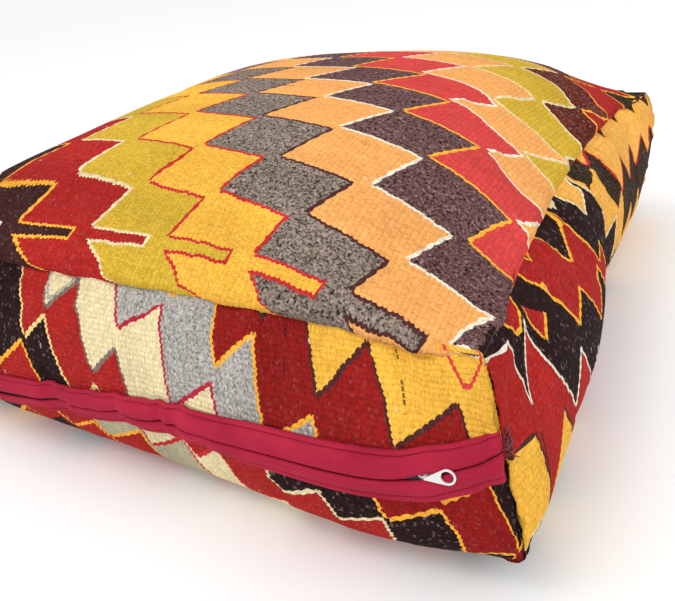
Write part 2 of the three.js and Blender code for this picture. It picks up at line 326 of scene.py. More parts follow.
def between(grid, first, second):
    """Reads a grid between its points, by a cubic through the four nearest each way."""
    ways = []
    for share, count in ((first, grid.shape[0] - 1), (second, grid.shape[1] - 1)):
        at = np.clip((share + 1) / 2 * count, 0, count - 1e-6)
        near = at.astype(int)
        t = at - near
        weights = (
            (-t + 2 * t**2 - t**3) / 2,
            (2 - 5 * t**2 + 3 * t**3) / 2,
            (t + 4 * t**2 - 3 * t**3) / 2,
            (t**3 - t**2) / 2,
        )
        ways.append([(np.clip(near + k - 1, 0, count), w) for k, w in enumerate(weights)])
    return sum(
        (w1 * w2)[:, None] * grid[i1, i2] for i1, w1 in ways[0] for i2, w2 in ways[1]
    )


# The stuffing rolls the cloth out past each seam and puckers it, most of all over the front.
ROLLS = [
    {"way": (0, -1), "out": 0.0092, "sink": 0.0030},
    {"way": (1, 0), "out": 0.0055, "sink": 0.0012},
    {"way": (0, 1), "out": 0.0050, "sink": 0.0010},
    {"way": (-1, 0), "out": 0.0050, "sink": 0.0010},
]
ROLL_AT = 0.009
ROLL_WIDE = 0.009
ROLL_ENDS = 0.03  # a roll dies away this far from a corner
ROLL_WAVY = 0.25
ROLL_SLOW = 0.7
PUCKERS = [(0.031, 0.4), (0.047, 2.1), (0.023, 4.0), (0.071, 1.0)]  # length, phase
PUCKER_DEEP = 0.0011
PUCKER_WIDE = 0.025
SEWN_WIDE = 0.004  # held flat beside the seam


def puckered(along):
    return sum(np.sin(2 * math.pi * along / length + phase) for length, phase in PUCKERS) / 2


def on_crown(x, y):
    """A point of the stuffed crown, x and y from -1 to 1 along the cloth."""
    laid = crown_form(even(x), even(y)) + between(SWELLS["top"], x, y)
    for roll in ROLLS:
        out_x, out_y = roll["way"]
        inside = (1 - x * out_x - y * out_y) * CROWN_HALF
        along = (x * out_y + y * out_x) * CROWN_HALF
        corner = np.clip((CROWN_HALF - np.abs(along)) / ROLL_ENDS, 0, 1)
        full = bell((inside - ROLL_AT) / ROLL_WIDE) * corner
        wave = 1 + ROLL_WAVY * puckered(along * ROLL_SLOW)
        laid[:, 0] += out_x * roll["out"] * full * wave
        laid[:, 1] += out_y * roll["out"] * full * wave
        laid[:, 2] -= roll["sink"] * full
        beside = bell(inside / PUCKER_WIDE) * (1 - bell(inside / SEWN_WIDE))
        laid[:, 2] += PUCKER_DEEP * puckered(along) * beside
    return laid


# Soft folds down each wall: where along it, how wide and deep, how far down and how slanted.
# The stuffing also rolls the wall out under the top seam and beside the upright seams.
FOLDS = {
    "front": [
        (0.114, 0.0060, 0.0052, 0.060, 0.05),
        (0.191, 0.0070, 0.0034, 0.060, 0.12),
        (-0.005, 0.0120, 0.0016, 0.050, -0.1),
        (-0.110, 0.0110, 0.0018, 0.050, 0.1),
    ],
    "right": [
        (-0.205, 0.012, 0.0024, 0.075, 0.25),
        (-0.130, 0.012, 0.0022, 0.065, 0.2),
        (-0.020, 0.014, 0.0022, 0.065, -0.1),
        (0.110, 0.012, 0.0020, 0.060, 0.15),
    ],
    "back": [
        (-0.150, 0.013, 0.0024, 0.065, 0.15),
        (0.020, 0.012, 0.0020, 0.055, -0.1),
        (0.165, 0.012, 0.0022, 0.065, -0.2),
    ],
    "left": [
        (-0.170, 0.012, 0.0022, 0.065, 0.2),
        (-0.040, 0.013, 0.0020, 0.055, 0.1),
        (0.120, 0.012, 0.0024, 0.065, -0.15),
    ],
}
WALL_ROLL = {"front": 0.0015, "right": 0.0050, "back": 0.0045, "left": 0.0045}
WALL_ROLL_FROM, WALL_ROLL_DOWN = 0.006, 0.03  # distances under the top seam
WALL_PUCKER_PHASE = 0.013
CORNER_ROLL = 0.0032
CORNER_ROLL_AT, CORNER_ROLL_WIDE = 0.011, 0.010  # distances beside an upright seam
CORNER_ROLL_TOP, CORNER_ROLL_FOOT = 0.012, 0.02  # it starts this far from either end
CORNER_WAVY = 0.35
CORNER_QUICK = 1.7
CORNER_PHASE = 0.02
FOLD_FROM = 0.01
FOLD_BESIDE = 3  # the cloth rises again beside a fold, this much wider
FOLD_RISE = 0.25
WALLS = {
    "front": lambda s: (s, 0 * s - 1, s),
    "right": lambda s: (0 * s + 1, s, s),
    "back": lambda s: (-s, 0 * s + 1, -s),
    "left": lambda s: (0 * s - 1, -s, -s),
}


def on_wall(wall, s, share):
    """A point of a stuffed wall, s from -1 to 1 along it as seen from outside and share from
    -1 to 1 up it."""
    x, y, column = WALLS[wall](s)
    laid = wall_form(even(x), even(y), height_at(share)) + between(SWELLS[wall], column, share)
    under = (1 - share) / 2 * WALL_TALL
    out_x, out_y, _ = WALLS[wall](np.zeros(1))
    beside = (1 - np.abs(s)) * CROWN_HALF
    ends = np.clip(beside / ROLL_ENDS, 0, 1)
    full = (1 - bell(under / WALL_ROLL_FROM)) * bell(under / WALL_ROLL_DOWN) * ends
    push = full * (WALL_ROLL[wall] + PUCKER_DEEP * puckered(s * CROWN_HALF + WALL_PUCKER_PHASE))
    upright = 1 - bell(under / CORNER_ROLL_TOP)
    upright = upright * (1 - bell((WALL_TALL - under) / CORNER_ROLL_FOOT))
    wave = 1 + CORNER_WAVY * puckered(CORNER_QUICK * under + CORNER_PHASE * np.sign(s))
    push = push + CORNER_ROLL * wave * upright * bell((beside - CORNER_ROLL_AT) / CORNER_ROLL_WIDE)
    for along, wide, deep, down, slant in FOLDS[wall]:
        near = (s * CROWN_HALF - along - slant * under) / wide
        fade = (1 - bell(under / FOLD_FROM)) * bell(under / down)
        push = push - deep * fade * (bell(near) - FOLD_RISE * bell(near / FOLD_BESIDE))
    laid[:, 0] += out_x * push
    laid[:, 1] += out_y * push
    return laid


# The kilim's weave. Wool wefts cover the warps completely, so every warp shows as a rib, and a
# colour can only turn back at a rib. The pattern is charted as the weaver works it: bands of
# yarn side by side, which step aside from one row to the next, each outlined at its edge.
RIB = 0.0038
PICK = 0.0013
YARNS = {
    "purple_brown": (0.045, 0.014, 0.013),
    "madder": (0.37, 0.018, 0.015),
    "rose_madder": (0.60, 0.055, 0.050),
    "dark_madder": (0.245, 0.011, 0.0095),
    "deep_red": (0.25, 0.010, 0.009),
    "olive_yellow": (0.58, 0.37, 0.035),
    "golden": (0.79, 0.42, 0.052),
    "grey_heather": (0.195, 0.152, 0.122),
    "pale_grey": (0.36, 0.34, 0.31),
    "apricot": (0.80, 0.36, 0.105),
    "brown_heather": (0.120, 0.058, 0.056),
    "black_brown": (0.020, 0.008, 0.008),
    "orange": (0.80, 0.40, 0.08),
    "maroon": (0.12, 0.022, 0.013),
    "green_brown": (0.038, 0.022, 0.012),
    "cream": (0.73, 0.62, 0.36),
    "white": (0.76, 0.70, 0.55),
    "edge_gold": (0.86, 0.40, 0.04),
    "edge_red": (0.52, 0.025, 0.03),
    "edge_brown": (0.07, 0.022, 0.022),
    "edge_crimson": (0.42, 0.02, 0.05),
    "edge_cream": (0.80, 0.58, 0.22),
    "dull_cream": (0.42, 0.38, 0.25),
}
HEATHERED = {
    "purple_brown": 0.35,
    "grey_heather": 1.0,
    "pale_grey": 0.5,
    "brown_heather": 1.0,
    "black_brown": 0.6,
    "maroon": 0.95,
    "green_brown": 0.6,
    "madder": 0.22,
    "dark_madder": 0.22,
    "deep_red": 0.22,
    "rose_madder": 0.15,
}
FLECK = (0.42, 0.30, 0.31)


class Tone:
    """A number, colour or vector on its way through a material's nodes."""

    def __init__(self, tree, socket=None):
        self.tree = tree
        self.socket = socket

    def node(self, kind, settings=None, inputs=None, output=0):
        made = self.tree.nodes.new(kind)
        for name, value in (settings or {}).items():
            if name == "stops":
                self.fill_ramp(made.color_ramp, value)
            elif name == "points":
                self.fill_curve(made.mapping, value)
            else:
                setattr(made, name, value)
        for key, value in (inputs or {}).items():
            if isinstance(value, Tone):
                self.tree.links.new(value.socket, made.inputs[key])
            else:
                made.inputs[key].default_value = value
        return Tone(self.tree, made.outputs[output])

    @staticmethod
    def fill_ramp(ramp, colours):
        """Even steps, one for each colour."""
        ramp.interpolation = "CONSTANT"
        while len(ramp.elements) < len(colours):
            ramp.elements.new(1)
        for place, colour in enumerate(colours):
            ramp.elements[place].position = place / len(colours)
            ramp.elements[place].color = colour

    @staticmethod
    def fill_curve(mapping, points):
        """Straight lines from point to point."""
        line = mapping.curves[0].points
        while len(line) < len(points):
            line.new(1, 1)
        for made, place in zip(line, points):
            made.location = place
            made.handle_type = "VECTOR"
        mapping.update()

    def maths(self, operation, *others):
        values = dict(enumerate((self, *others)))
        return self.node("ShaderNodeMath", {"operation": operation}, values)

    def __add__(self, other):
        return self.maths("ADD", other)

    def __sub__(self, other):
        return self.maths("SUBTRACT", other)

    def __mul__(self, other):
        return self.maths("MULTIPLY", other)

    def __truediv__(self, other):
        return self.maths("DIVIDE", other)

    def __gt__(self, other):
        return self.maths("GREATER_THAN", other)

    def __lt__(self, other):
        return self.maths("LESS_THAN", other)

    def __rsub__(self, other):
        return self * -1 + other

    __radd__ = __add__
    __rmul__ = __mul__

    def floor(self):
        return self.maths("FLOOR")

    def clamped(self):
        return self.maths("MAXIMUM", 0).maths("MINIMUM", 1)

    def humped(self):
        """0 at 0 and at 1, and 1 halfway."""
        return 1 - (self * 2 - 1) * (self * 2 - 1)

    def mix(self, first, second):
        """first where this is 0 and second where it is 1, as colours."""
        return self.node(
            "ShaderNodeMix", {"data_type": "RGBA"}, {0: self, 6: first, 7: second}, output=2
        )

    def tinted(self, share):
        """This colour times a number."""
        return self.node("ShaderNodeVectorMath", {"operation": "SCALE"}, {0: self, 3: share})

    def vector(self, *parts):
        return self.node("ShaderNodeCombineXYZ", {}, dict(enumerate(parts)))

    def parts(self):
        made = self.node("ShaderNodeSeparateXYZ", {}, {0: self})
        outputs = made.socket.node.outputs
        return [Tone(self.tree, outputs[k]) for k in range(3)]

    def noise(self, scale, detail=2, rough=0.5):
        settings = {"Vector": self, "Scale": scale, "Detail": detail, "Roughness": rough}
        return self.node("ShaderNodeTexNoise", {}, settings)

    def grain(self):
        """White noise, a new number for every different vector."""
        return self.node("ShaderNodeTexWhiteNoise", {}, {"Vector": self})

    def bump(self, distance):
        settings = {"Strength": BUMP_STRONG, "Distance": distance, "Height": self}
        return self.node("ShaderNodeBump", {}, settings)


BUMP_STRONG = 0.5
KILIM_RELIEF = 0.0006
WOOL = {"Roughness": 0.9, "Specular IOR Level": 0.08}
SPAN = 400  # ribs either way that a chart's numbers may reach
SLOPED = 0.7  # 0 has the edges step from rib to rib, 1 has them run straight
EDGE_RIBS = 0.55
PLAIN, EDGE_PLAIN, OUTLINE_PLAIN, TOOTH_PLAIN = 0.12, 0.1, 0.15, 0.2  # heather of plain yarn
# Slits are painted shade: dots of dark yarn colour along each slit stand for the shade in its
# crease.
SLIT_HALF, SLIT_SHADE = 0.0007, 0.8
SLIT_CREST, SLIT_MISSED = 0.4, 0.3  # it shows where a crest is higher, and not at every rib
PICK_SLANT, PICK_BACK, PICK_SHIFT = 1.4, 0.35, 0.37
SPECKS, SPECK_LONG = 3, 0.0009  # specks of heather across a rib, and how long each is
FIBRE_FINE, CLUMP_FINE = 1100, 420  # features in a metre
ABRASH_ACROSS, ABRASH_ALONG, FADED = 3, 26, 14
# The bead entry paints light and shade on each pick; the others are the yarns' own tones.
SHADES = {  # how strongly each of these changes a colour
    "specks": 1.5, "clumps": 2.2, "yarn": 0.24, "fibre": 1.1,
    "bead": 0.26, "abrash": 0.5, "faded": 0.3,
}
# Painted shade between the ribs, and painted light on their crests.
GROOVE_SHADE, CREST = 0.84, 0.18  # brightness between the ribs, and what their crests add
DARKEST = 0.1
FLECK_FROM, FLECK_STEEP = 0.9, 5
STRAYS, STRAY_PALE = 0.9991, 0.4
RAISED = {"bead": 0.3, "fibre": 0.5, "yarn": 0.35, "crest": 0.3}


def kilim(name, chart, rib_axis):
    """The cloth of a chart. Its bands are (yarn, edge), each as many ribs wide as band says. Its
    rows are (at, start, finish, turn): a row begins at a place along the ribs, the bands' edges
    slide from rib start to rib finish, and in the last share of it, turn, they step on to the
    next row. Rows may lean or bow across the ribs, and teeth and slits lie over the bands."""
    finish, shader = new_finish(name, WOOL)
    tree = finish.node_tree
    flat = Tone(tree).node("ShaderNodeUVMap", {"uv_map": "cloth"}).parts()
    across, along = flat[rib_axis], flat[1 - rib_axis]
    rib = (across / RIB).floor()
    inside = across / RIB - rib
    crest = inside.humped()
    number = rib + (inside - 0.5) * SLOPED + 0.5
    jitter = rib.vector(rib, 0, 0.5).grain() - 0.5
    level_along = along + crest * chart["scallop"] + jitter * chart["uneven"]
    lean = chart["lean"]
    if "lean_left" in chart:
        left = chart["lean_left"]
        lean = lean + ((left["from"] - along) / left["over"]).clamped() * left["more"]
    level_along = level_along + (across - chart["lean_at"]) * lean
    if "bow" in chart:
        bow = chart["bow"]
        off_middle = (across - bow["at"]) / bow["half"]
        near = ((bow["from"] - along) / bow["over"]).clamped()
        level_along = level_along + off_middle * off_middle * bow["deep"] * near

    rows = chart["rows"]
    low, high = rows[0][0], rows[-1][0]
    count = len(rows) - 1
    places = [((row[0] - low) / (high - low), k / count) for k, row in enumerate(rows)]
    steps = []
    for (_, start, finish_at, turn), after in zip(rows[:-1], rows[1:]):
        shifts = [(ribs + SPAN) / (2 * SPAN) for ribs in (start, finish_at, after[1])]
        steps.append([*shifts, turn])

    def shift_at(place):
        share = (place - low) / (high - low)
        order = share.node("ShaderNodeFloatCurve", {"points": places}, {1: share}) * count
        row = order.floor()
        f = order - row
        look = (row + 0.5) / count
        ramp = look.node("ShaderNodeValToRGB", {"stops": steps}, {0: look})
        start, end, after = ramp.parts()
        turn = Tone(tree, ramp.socket.node.outputs[1])
        slid = (f / (1 - turn)).maths("MINIMUM", 1)
        jumped = ((f - (1 - turn)) / turn).maths("MAXIMUM", 0)
        shift = start + (end - start) * slid + (after - end) * jumped
        return shift * (2 * SPAN) - SPAN

    bands = chart["bands"]
    shift = shift_at(level_along)
    shift_beyond = shift_at(level_along + chart["outline"])
    band = ((number - shift) / chart["band"]).floor()
    band_right = ((number + EDGE_RIBS - shift) / chart["band"]).floor()
    band_beyond = ((number - shift_beyond) / chart["band"]).floor()
    highest = band.maths("MAXIMUM", band_right).maths("MAXIMUM", band_beyond)
    lowest = band.maths("MINIMUM", band_right).maths("MINIMUM", band_beyond)
    outlined = highest > lowest + 0.5

    first = chart["first_band"]
    looked = (band - first + 0.5) / len(bands)
    fields = [(*YARNS[yarn], HEATHERED.get(yarn, PLAIN)) for yarn, _ in bands]
    edges = [(*YARNS[edge], EDGE_PLAIN) for _, edge in bands]
    field = looked.node("ShaderNodeValToRGB", {"stops": fields}, {0: looked})
    heather = Tone(tree, field.socket.node.outputs[1])
    edge_look = (highest - first + 0.5) / len(bands)
    edge = edge_look.node("ShaderNodeValToRGB", {"stops": edges}, {0: edge_look})
    colour = outlined.mix(field, edge)
    heather = heather * (1 - outlined) + outlined * OUTLINE_PLAIN
    for tooth in chart.get("teeth", []):
        tall = tooth["base"] - tooth["tip"]
        share = (number * RIB - tooth["tip"]) / tall
        here = (share > 0) * (share < 1)
        left = share * (tooth["left"] - tooth["at"]) + tooth["at"]
        right = share * (tooth["right"] - tooth["at"]) + tooth["at"]
        bumpy = along + crest * chart["scallop"]
        thick = tooth["outline"]
        on_left = tooth.get("outline_left", thick)
        whole = here * (bumpy > left - on_left) * (bumpy < right + thick)
        within = here * (bumpy > left) * (bumpy < right) * (share > RIB / abs(tall))
        colour = whole.mix(colour, (*YARNS[tooth["edge"]], 1))
        colour = within.mix(colour, (*YARNS[tooth["yarn"]], 1))
        heather = heather * (1 - whole) + whole * TOOTH_PLAIN

    # Painted shade in each slit: dark dots along it, on the higher crests and not at every rib.
    for slit in chart.get("slits", []):
        beside = (along - slit["at"]).maths("ABSOLUTE") < SLIT_HALF
        dot = beside * (crest > SLIT_CREST) * (across > slit["from"]) * (across < slit["to"])
        ragged = rib.vector(rib, 3.5, 1.5).grain() > SLIT_MISSED
        colour = (dot * ragged * SLIT_SHADE).mix(colour, (*YARNS["black_brown"], 1))

    slant = (rib * 0.5).maths("FRACT") * PICK_SLANT - PICK_BACK
    over_pick = along / PICK + inside * slant + rib * PICK_SHIFT
    pick = over_pick.floor()
    over_pick = over_pick - pick
    bead = over_pick.humped()
    yarn = rib.vector(rib, pick, 1.5).grain()
    spot = rib.vector(across, along, 0)
    fibre = spot.noise(FIBRE_FINE, 3, 0.65)
    speck = (inside * SPECKS).floor() + rib * SPECKS
    specks = rib.vector(speck, (along / SPECK_LONG).floor(), 3.5).grain()
    clumps = spot.noise(CLUMP_FINE, 1)
    abrash = rib.vector(across * ABRASH_ACROSS, along * ABRASH_ALONG, 2).noise(1, 2)
    faded = rib.vector(across * FADED, along * FADED, 5).noise(1, 2)
    mottle = (specks - 0.5) * SHADES["specks"] + (clumps - 0.5) * SHADES["clumps"]
    shade = 1 + mottle * heather + (yarn - 0.5) * SHADES["yarn"] + (fibre - 0.5) * SHADES["fibre"]
    # Painted light and shade on each pick: lighter over its middle, darker where it meets the
    # next.
    shade = shade + (bead - 0.6) * yarn * SHADES["bead"]
    shade = shade * (1 + (abrash - 0.5) * SHADES["abrash"]) * (1 + (faded - 0.5) * SHADES["faded"])
    # Painted shade in the grooves between the ribs, painted light on their crests.
    shade = shade * (GROOVE_SHADE + crest.maths("POWER", 0.5) * CREST)
    colour = colour.tinted(shade.maths("MAXIMUM", DARKEST))
    chance = rib.vector(rib * 2 + (inside * 2).floor(), pick, 7.5).grain()
    fleck = ((chance - FLECK_FROM) * FLECK_STEEP).clamped() * heather
    colour = fleck.mix(colour, (*FLECK, 1))
    stray = rib.vector(rib, pick, 9.5).grain() > STRAYS
    colour = (stray * STRAY_PALE).mix(colour, (*YARNS["white"], 1))
    tree.links.new(colour.socket, shader.inputs["Base Color"])

    relief = bead * crest * RAISED["bead"] + fibre * RAISED["fibre"]
    relief = relief + yarn * RAISED["yarn"] + crest * RAISED["crest"]
    tree.links.new(relief.bump(KILIM_RELIEF).socket, shader.inputs["Normal"])
    return finish


# The kilim panels. Each is a flat piece of ribbed cloth, laid over the stuffed body with its
# ribs raised, its edges turned in along the seams and its share of the filling behind it.
RIB_RAISED = 0.00035
RIB_CUTS = 4
WEFT_STEP = 0.005
TURNED_IN = 0.008
HEART = (0, 0, 0.072)


def object_from(shape, name, finish):
    mesh = bpy.data.meshes.new(name)
    shape.to_mesh(mesh)
    shape.free()
    mesh.materials.append(finish)
    piece = bpy.data.objects.new(name, mesh)
    bpy.context.scene.collection.objects.link(piece)
    return piece


def new_verts(made):
    return [g for g in made["geom"] if isinstance(g, bmesh.types.BMVert)]


def rim_drawn_out(flat):
    """Draws a second edge out of the open edge, and gives its corners."""
    rim = [e for e in flat.edges if e.is_boundary]
    return new_verts(bmesh.ops.extrude_edge_only(flat, edges=rim))


def keep_chart(flat):
    """Keeps the flat cloth's own places as its UV map, and shades it smooth."""
    chart = flat.loops.layers.uv.new("cloth")
    for face in flat.faces:
        face.smooth = True
        for loop in face.loops:
            loop[chart].uv = loop.vert.co.xy


def ribbed_panel(name, flat, lay, rib_axis, finish):
    """Lays a flat cloth, a bmesh in metres of cloth, over the body and raises its ribs.
    rib_axis is the flat direction, 0 or 1, in which one rib follows the next."""
    flat.verts.ensure_lookup_table()
    places = np.array([v.co for v in flat.verts])
    laid = lay(places[:, 0], places[:, 1])
    keep_chart(flat)
    for vert, place in zip(flat.verts, laid):
        vert.co = place
    flat.normal_update()
    normals = np.array([v.normal for v in flat.verts])
    crest = (1 - np.cos(2 * math.pi * places[:, rib_axis] / RIB)) / 2
    for vert, place in zip(flat.verts, laid + normals * (crest * RIB_RAISED)[:, None]):
        vert.co = place
    flat.normal_update()
    heart = Vector(HEART)
    for vert in rim_drawn_out(flat):
        vert.co += (heart - vert.co).normalized() * TURNED_IN
    bmesh.ops.pointmerge(flat, verts=rim_drawn_out(flat), merge_co=heart)
    bmesh.ops.recalc_face_normals(flat, faces=flat.faces)
    return object_from(flat, name, finish)


def cloth_grid(wide, tall, columns, rows):
    flat = bmesh.new()
    bmesh.ops.create_grid(flat, x_segments=columns, y_segments=rows, size=1)
    bmesh.ops.scale(flat, vec=(wide / 2, tall / 2, 1), verts=flat.verts)
    return flat


# The top panel: its ribs run from the front to the back, a little askew to the seams.
TOP_ASKEW = -0.110
TOP_SPARE = 1.12  # cut this much larger, then trimmed to the seams
TOP_WEAVE = {
    "band": 18.3,
    "first_band": -5,
    "outline": 0.0019,
    "scallop": 0.0009,
    "uneven": 0.0010,
    "lean_at": 0.1,
    "lean": -0.02,
    "bow": {"at": 0.145, "half": 0.13, "deep": 0.006, "from": -0.18, "over": 0.035},
    "bands": [
        ("golden", "cream"), ("grey_heather", "edge_red"), ("orange", "edge_brown"),
        ("purple_brown", "white"), ("madder", "edge_gold"), ("olive_yellow", "cream"),
        ("golden", "edge_red"), ("grey_heather", "edge_red"), ("apricot", "edge_brown"),
        ("brown_heather", "white"), ("rose_madder", "edge_gold"), ("apricot", "white"),
        ("olive_yellow", "cream"), ("maroon", "cream"), ("madder", "edge_gold"),
        ("green_brown", "edge_gold"), ("orange", "edge_red"), ("madder", "cream"),
        ("golden", "edge_brown"), ("grey_heather", "edge_red"), ("apricot", "edge_brown"),
        ("purple_brown", "white"), ("rose_madder", "edge_gold"), ("olive_yellow", "cream"),
    ],
    "rows": [
        (-0.330, 42, -6, 0.02), (-0.2225, 7.5, 8, 0.12), (-0.2155, -6.5, -2.7, 0.18),
        (-0.180, -18.5, -14.4, 0.1), (-0.142, -30, -25.8, 0.1), (-0.0955, -43.5, -38, 0.1),
        (-0.0515, -55, -50, 0.1), (-0.008, -69, -62, 0.1), (0.035, -82, -77, 0.1),
        (0.078, -94, -89, 0.1), (0.120, -106, -101, 0.1), (0.162, -118, -113, 0.1),
        (0.204, -130, -125, 0.1), (0.246, -142, -137, 0.1), (0.288, -154, -149, 0.1),
        (0.330, -166, -161, 0.1),
    ],
    "slits": [
        {"at": -0.178, "from": -0.086, "to": -0.074},
        {"at": -0.0335, "from": 0.002, "to": 0.024},
        {"at": 0.0585, "from": -0.034, "to": -0.012},
    ],
}

top_ribs = math.ceil(2 * CROWN_HALF * TOP_SPARE / RIB)
top_wide = top_ribs * RIB
top_flat = cloth_grid(top_wide, top_wide, top_ribs * RIB_CUTS, round(top_wide / WEFT_STEP))
askew = Matrix.Rotation(TOP_ASKEW, 3, "Z")
for side in ((1, 0, 0), (-1, 0, 0), (0, 1, 0), (0, -1, 0)):
    out = askew.inverted() @ Vector(side)
    bmesh.ops.bisect_plane(
        top_flat,
        geom=[*top_flat.verts, *top_flat.edges, *top_flat.faces],
        dist=1e-7,
        plane_co=out * CROWN_HALF,
        plane_no=out,
        clear_outer=True,
    )


def lay_top(across, along):
    x = (math.cos(TOP_ASKEW) * across - math.sin(TOP_ASKEW) * along) / CROWN_HALF
    y = (math.sin(TOP_ASKEW) * across + math.cos(TOP_ASKEW) * along) / CROWN_HALF
    return on_crown(np.clip(x, -1, 1), np.clip(y, -1, 1))


top_cover = ribbed_panel("top_cover", top_flat, lay_top, 0, kilim("top_kilim", TOP_WEAVE, 0))
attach(top_cover, "root")
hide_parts("top_panel")

# The walls: one kilim panel on each side, its ribs level. The front one is cut in two along
# the zip's mouth, and the cut edges are hidden under the flaps.
MOUTH = np.array([  # along the front, up, and how tall each flap is, as a share of its fold
    (-0.275, 0.0690, 0.62, 0.60), (-0.215, 0.0535, 0.62, 0.60), (-0.147, 0.0525, 0.62, 0.60),
    (-0.090, 0.0575, 0.64, 0.60), (-0.030, 0.0625, 0.66, 0.60), (0.020, 0.0670, 0.70, 0.60),
    (0.109, 0.0724, 0.76, 0.60), (0.199, 0.0775, 0.76, 0.66), (0.251, 0.0940, 0.56, 0.82),
    (0.275, 0.1040, 0.50, 0.80),
])
FRONT_HALF = BELLY_REACH * (1 - BELLY_ROUND)
FRONT_WEAVE = {
    "band": 19.7,
    "first_band": -8,
    "outline": 0.0019,
    "scallop": 0.0007,
    "uneven": 0.0012,
    "lean_at": 0.14,
    "lean": 0.11,
    "lean_left": {"from": 0.045, "over": 0.06, "more": 0.26},
    "bands": [
        ("grey_heather", "edge_red"), ("madder", "edge_gold"), ("golden", "edge_brown"),
        ("black_brown", "edge_gold"), ("madder", "edge_brown"), ("black_brown", "edge_gold"),
        ("madder", "edge_cream"), ("cream", "grey_heather"), ("pale_grey", "edge_crimson"),
        ("dark_madder", "edge_gold"), ("golden", "edge_brown"), ("golden", "golden"),
        ("madder", "edge_gold"), ("black_brown", "edge_gold"), ("orange", "edge_brown"),
        ("grey_heather", "edge_red"),
    ],
    "rows": [
        (-0.300, 135, 142, 0.1), (-0.245, 122, 129, 0.1), (-0.210, 109, 116, 0.1),
        (-0.172, 96, 103, 0.1), (-0.132, 84, 91, 0.1), (-0.087, 72.1, 77.4, 0.1),
        (-0.060, 59, 66, 0.1), (-0.029, 48.7, 54.5, 0.1), (0.003, 38.3, 44.5, 0.08),
        (0.041, 26.1, 33, 0.08), (0.078, 16, 23, 0.08), (0.107, 6, 12.2, 0.08),
        (0.142, -4.5, 6.3, 0.1), (0.183, -9.7, -1, 0.08), (0.229, -18.4, -12, 0.08),
        (0.265, -30, -24, 0.1), (0.300, -42, -36, 0.1),
    ],
    "teeth": [
        {"at": -0.063, "tip": 0.156, "base": 0.182, "left": -0.074, "right": -0.046,
         "yarn": "cream", "edge": "pale_grey", "outline": 0.002},
        {"at": 0.232, "tip": 0.154, "base": 0.182, "left": 0.225, "right": 0.256,
         "yarn": "golden", "edge": "rose_madder", "outline": 0.0026},
    ],
    "slits": [
        {"at": 0.191, "from": 0.132, "to": 0.177},
        {"at": 0.122, "from": 0.140, "to": 0.172},
    ],
}
LOWER_WEAVE = {
    "band": 13,
    "first_band": -10,
    "outline": 0.0019,
    "scallop": 0.0007,
    "uneven": 0.0012,
    "lean_at": 0.06,
    "lean": 0.25,
    "bands": [
        ("madder", "edge_gold"), ("grey_heather", "edge_gold"), ("golden", "edge_brown"),
        ("madder", "edge_gold"), ("black_brown", "edge_gold"), ("madder", "madder"),
        ("madder", "edge_gold"), ("dull_cream", "edge_gold"), ("cream", "edge_red"),
        ("madder", "edge_red"), ("black_brown", "cream"), ("deep_red", "edge_gold"),
        ("black_brown", "edge_gold"), ("deep_red", "edge_gold"), ("golden", "edge_gold"),
    ],
    "rows": [
        (-0.280, 120, 124, 0.1), (-0.230, 108, 113, 0.1), (-0.190, 97, 102, 0.1),
        (-0.150, 85, 91, 0.1), (-0.110, 74, 79, 0.1), (-0.070, 63, 68, 0.1), (-0.030, 51, 56, 0.1),
        (0.012, 40, 45, 0.1), (0.052, 28.5, 33, 0.1), (0.080, 21, 25, 0.1),
        (0.115, 15.7, 19.5, 0.1), (0.148, 13.6, 17, 0.1), (0.178, 3.9, 8.3, 0.1),
        (0.214, -3.4, 1, 0.1), (0.250, -10, -6, 0.1), (0.290, -20, -15, 0.1),
    ],
}
SIDE_WEAVE = {
    "band": 15,
    "first_band": -5,
    "outline": 0.0019,
    "scallop": 0.0007,
    "uneven": 0.0012,
    "lean_at": 0.12,
    "lean": 0.25,
    "lean_left": {"from": -0.16, "over": 0.04, "more": -0.25},
    "bands": [
        ("grey_heather", "edge_gold"), ("madder", "edge_gold"), ("black_brown", "cream"),
        ("golden", "cream"), ("madder", "edge_brown"), ("black_brown", "white"),
        ("madder", "edge_gold"), ("black_brown", "edge_gold"), ("orange", "cream"),
        ("green_brown", "edge_gold"), ("orange", "edge_red"), ("green_brown", "edge_gold"),
        ("orange", "edge_red"), ("green_brown", "edge_red"), ("orange", "edge_red"),
        ("madder", "edge_gold"), ("olive_yellow", "cream"),
    ],
    "rows": [
        (-0.290, 47, 44.5, 0.12), (-0.203, 32.5, 43.5, 0.4), (-0.161, 21.5, 28, 0.3),
        (-0.118, 15.5, 20, 0.4), (-0.080, 8.5, 17, 0.25), (-0.042, 1, 3, 0.2),
        (-0.020, -5.6, 2, 0.15), (0.018, -20.4, -16.6, 0.12), (0.052, -31, -28, 0.15),
        (0.076, -44, -37, 0.15), (0.117, -46, -38, 0.15), (0.158, -46, -39, 0.15),
        (0.199, -47, -40, 0.15), (0.240, -48, -42, 0.15), (0.290, -50, -44, 0.15),
    ],
    "teeth": [
        {"at": -0.119, "tip": 0.118, "base": 0.182, "left": -0.190, "right": -0.158,
         "yarn": "black_brown", "edge": "edge_gold", "outline": 0.0022, "outline_left": 0},
        {"at": -0.203, "tip": 0.050, "base": 0.108, "left": -0.2075, "right": -0.165,
         "yarn": "madder", "edge": "edge_brown", "outline": 0, "outline_left": 0.0018},
        {"at": -0.192, "tip": 0.160, "base": 0.185, "left": -0.215, "right": -0.176,
         "yarn": "madder", "edge": "edge_gold", "outline": 0.0024},
    ],
}

LINE_POINTS = np.linspace(-1, 1, 200)


def smooth_line(corners):
    """Points along a smooth curve through the corners."""
    return between(np.stack([corners, corners], axis=1), LINE_POINTS, 0 * LINE_POINTS)


mouth_line = smooth_line(MOUTH)


def mouth_height(s):
    """Height of the zip's mouth over the floor, at a share of the cloth along the front."""
    return np.interp(even(s) * FRONT_HALF, mouth_line[:, 0], mouth_line[:, 1])


